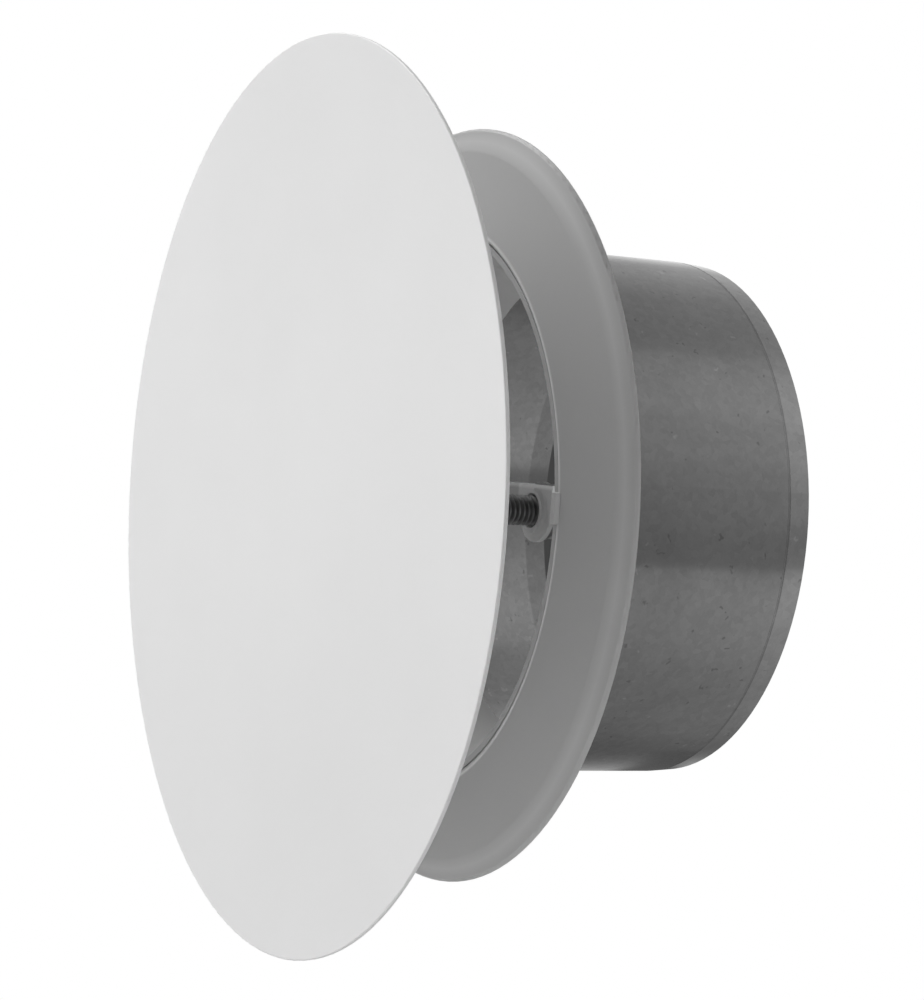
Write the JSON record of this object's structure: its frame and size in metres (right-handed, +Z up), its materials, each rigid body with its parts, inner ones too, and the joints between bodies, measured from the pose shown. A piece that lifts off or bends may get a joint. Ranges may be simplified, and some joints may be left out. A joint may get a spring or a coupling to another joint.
{
  "type": "ventilation disc valve",
  "caption": "Round disc valve for a wall duct: a flat disc on a threaded spindle screws in and out in front of a ring, neck and mounting sleeve.",
  "frame": {"origin": "on the valve's axis, at the wall's surface, which is the plane of the sleeve's flange back and of the ring's rear edge", "axes": "+Y runs along the axis into the wall and duct, so the disc faces -Y; +Z is up; X is level across the valve"},
  "size_m": [0.1674, 0.0803, 0.1674],
  "materials": {
    "disc_paint": "smooth matt white powder coat on sheet steel",
    "ring_paint": "satin light grey-white powder coat on pressed sheet steel",
    "galvanised_sheet": "mottled galvanised sheet steel, semi-gloss",
    "black_steel": "blackened and lightly oiled steel",
    "zinc_steel": "bright zinc plate",
    "spring_steel": "bare spring steel strip",
    "gasket_foam": "closed-cell foam strip"
  },
  "bodies": {
    "valve_body": {"mounting_sleeve": "galvanised_sheet", "face_ring": "ring_paint", "ring_gasket": "gasket_foam", "neck_ring": "ring_paint", "bridge": "ring_paint", "spindle_lock_washer": "black_steel", "spindle_lock_nut": "black_steel", "spring_rivets": "zinc_steel", "retaining_spring_1": "spring_steel", "retaining_spring_2": "spring_steel", "retaining_spring_3": "spring_steel"},
    "spindle_stop": {"stop_ring": "black_steel"},
    "disc_assembly": {"spindle": "black_steel", "front_disc": "disc_paint", "disc_boss": "zinc_steel", "disc_lock_washer": "black_steel", "disc_jam_nut": "black_steel"}
  },
  "joints": [
    {"name": "disc_travel", "type": "slide", "parent": "valve_body", "child": "spindle_stop", "axis": [0, 1, 0], "range_m": [-0.00301, 0.02451]},
    {"name": "disc_turn", "type": "hinge", "parent": "spindle_stop", "child": "disc_assembly", "pos_m": [0, 0, 0], "axis": [0, 1, 0], "range_deg": [-1080, 8820]}
  ],
  "couplings": [
    {"joint": "disc_travel", "follows": "disc_turn", "m_per_rad": 0.00015915}
  ]
}
